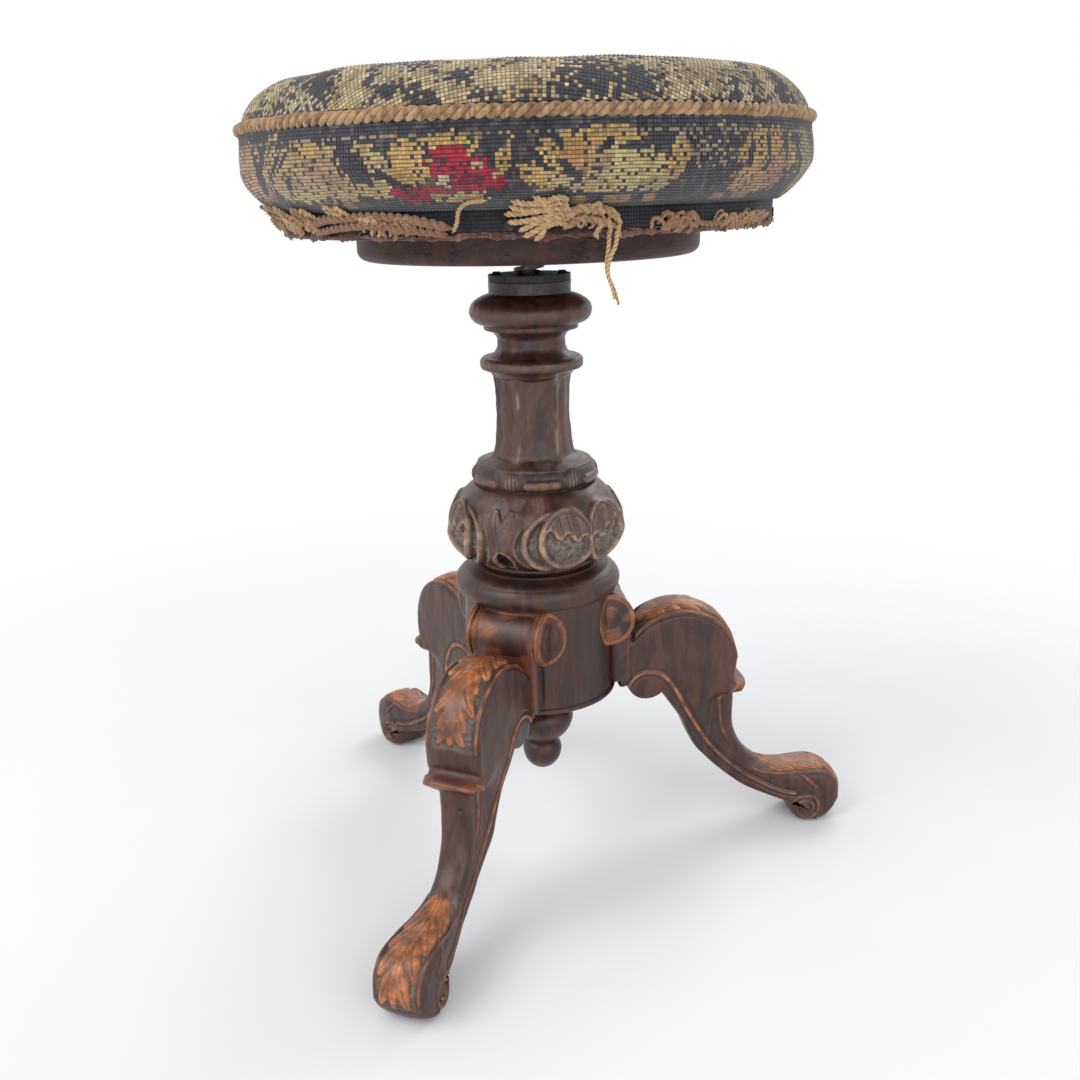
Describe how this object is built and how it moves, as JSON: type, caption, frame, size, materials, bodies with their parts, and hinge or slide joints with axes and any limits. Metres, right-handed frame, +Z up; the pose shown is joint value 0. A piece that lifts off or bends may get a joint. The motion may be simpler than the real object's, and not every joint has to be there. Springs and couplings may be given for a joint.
{
  "type": "revolving piano stool",
  "caption": "Revolving piano stool with a round needlework seat that turns and rises on an iron screw, a turned and carved walnut column and scrolled legs.",
  "frame": {"origin": "on the floor, on the axis of the column and the lifting screw", "axes": "+Z up along the screw; leg 1 points along -Y, legs 2 and 3 follow at 120 degree steps about +Z"},
  "size_m": [0.3838, 0.3805, 0.503],
  "materials": {
    "carved_walnut": "satin",
    "under_wood": "matte",
    "black_iron": "satin",
    "screw_steel": "satin",
    "needlework_wool": "matte",
    "linen": "matte",
    "horsehair": "matte",
    "cord_cotton": "matte",
    "braid_silk": "matte"
  },
  "bodies": {
    "base": {"hub_drum": "carved_walnut", "leg_dowels": "under_wood", "leg_1": "carved_walnut", "leg_2": "carved_walnut", "leg_3": "carved_walnut", "finial": "carved_walnut", "base_cap": "carved_walnut", "carved_knop": "carved_walnut", "column_shaft": "carved_walnut", "screw_nut": "black_iron", "nut_screws": "screw_steel"},
    "lift": {"thrust_collar": "black_iron"},
    "seat": {"seat_screw": "screw_steel", "seat_flange": "black_iron", "flange_screws": "screw_steel", "seat_block": "under_wood", "block_screws": "screw_steel", "seat_board": "under_wood", "seat_stuffing": "horsehair", "linen_cover": "linen", "needlework_top": "needlework_wool", "needlework_border": "needlework_wool", "piping_cord": "cord_cotton", "cover_tacks": "black_iron", "worn_braid": "braid_silk", "fringe_tufts": "braid_silk", "loose_thread_long": "cord_cotton", "loose_thread_short": "cord_cotton"}
  },
  "joints": [
    {"name": "seat_rise", "type": "slide", "parent": "base", "child": "lift", "axis": [0, 0, 1], "range_m": [-0.0081, 0.0961]},
    {"name": "seat_spin", "type": "hinge", "parent": "lift", "child": "seat", "pos_m": [0, 0, 0.4], "axis": [0, 0, 1], "range_deg": [-480, 5760]}
  ],
  "couplings": [
    {"joint": "seat_rise", "follows": "seat_spin", "m_per_rad": 0.00095493}
  ]
}
